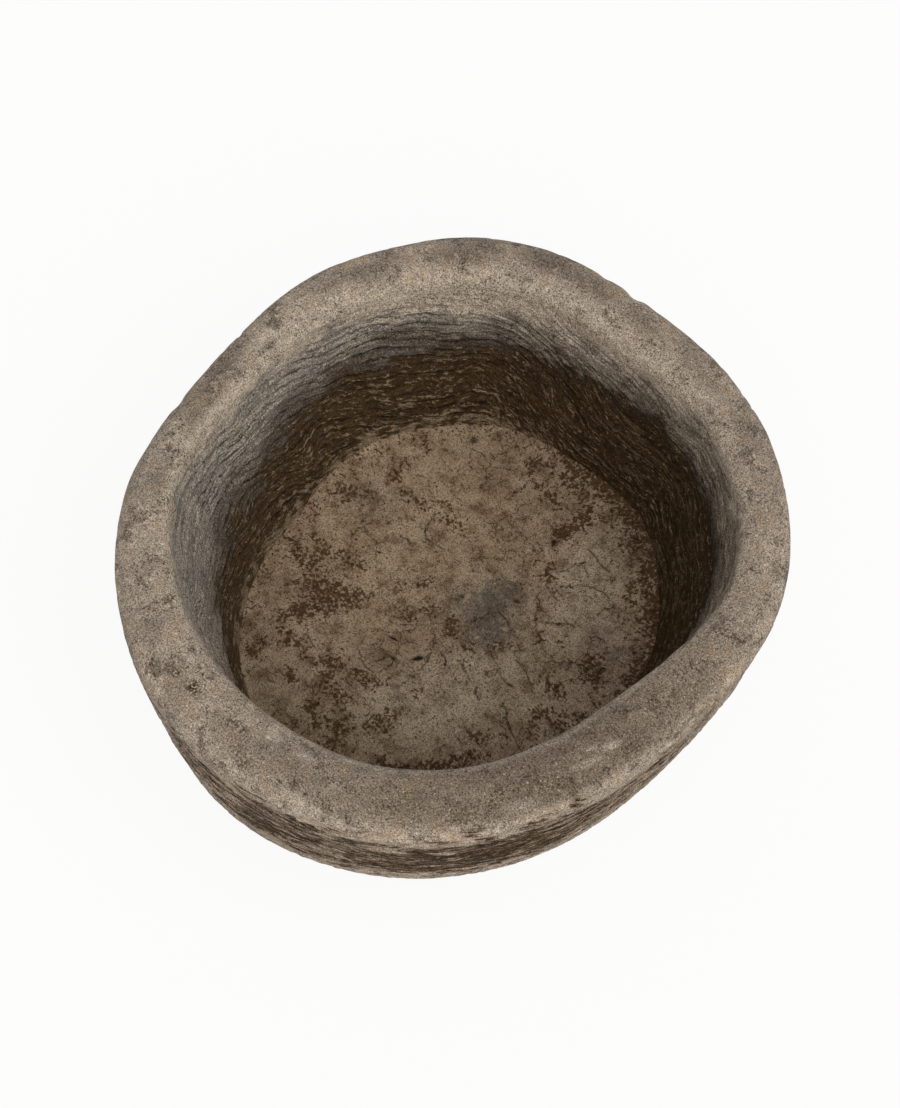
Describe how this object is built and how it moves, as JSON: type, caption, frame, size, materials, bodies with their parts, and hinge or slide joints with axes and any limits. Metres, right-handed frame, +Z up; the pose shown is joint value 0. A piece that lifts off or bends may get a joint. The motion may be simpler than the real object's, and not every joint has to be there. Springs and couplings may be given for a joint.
{
  "type": "stone trough",
  "caption": "Round hand-cut stone trough with a thick rounded rim, a battered hollow and a thin lime screed on its floor; stands on its flat base.",
  "frame": {"origin": "middle of the footprint on the flat underside, where the trough rests on the ground", "axes": "+Z up out of the hollow; +Y points to the far side of the trough as the picture sees it, +X to its right"},
  "size_m": [0.672, 0.6898, 0.2597],
  "materials": {
    "weathered_stone": "hand-dressed and weathered, matt",
    "lime_screed": "trowelled lime mortar, worn and stained, matt"
  },
  "bodies": {
    "root": {"stone_body": "weathered_stone", "floor_screed": "lime_screed"}
  },
  "joints": []
}
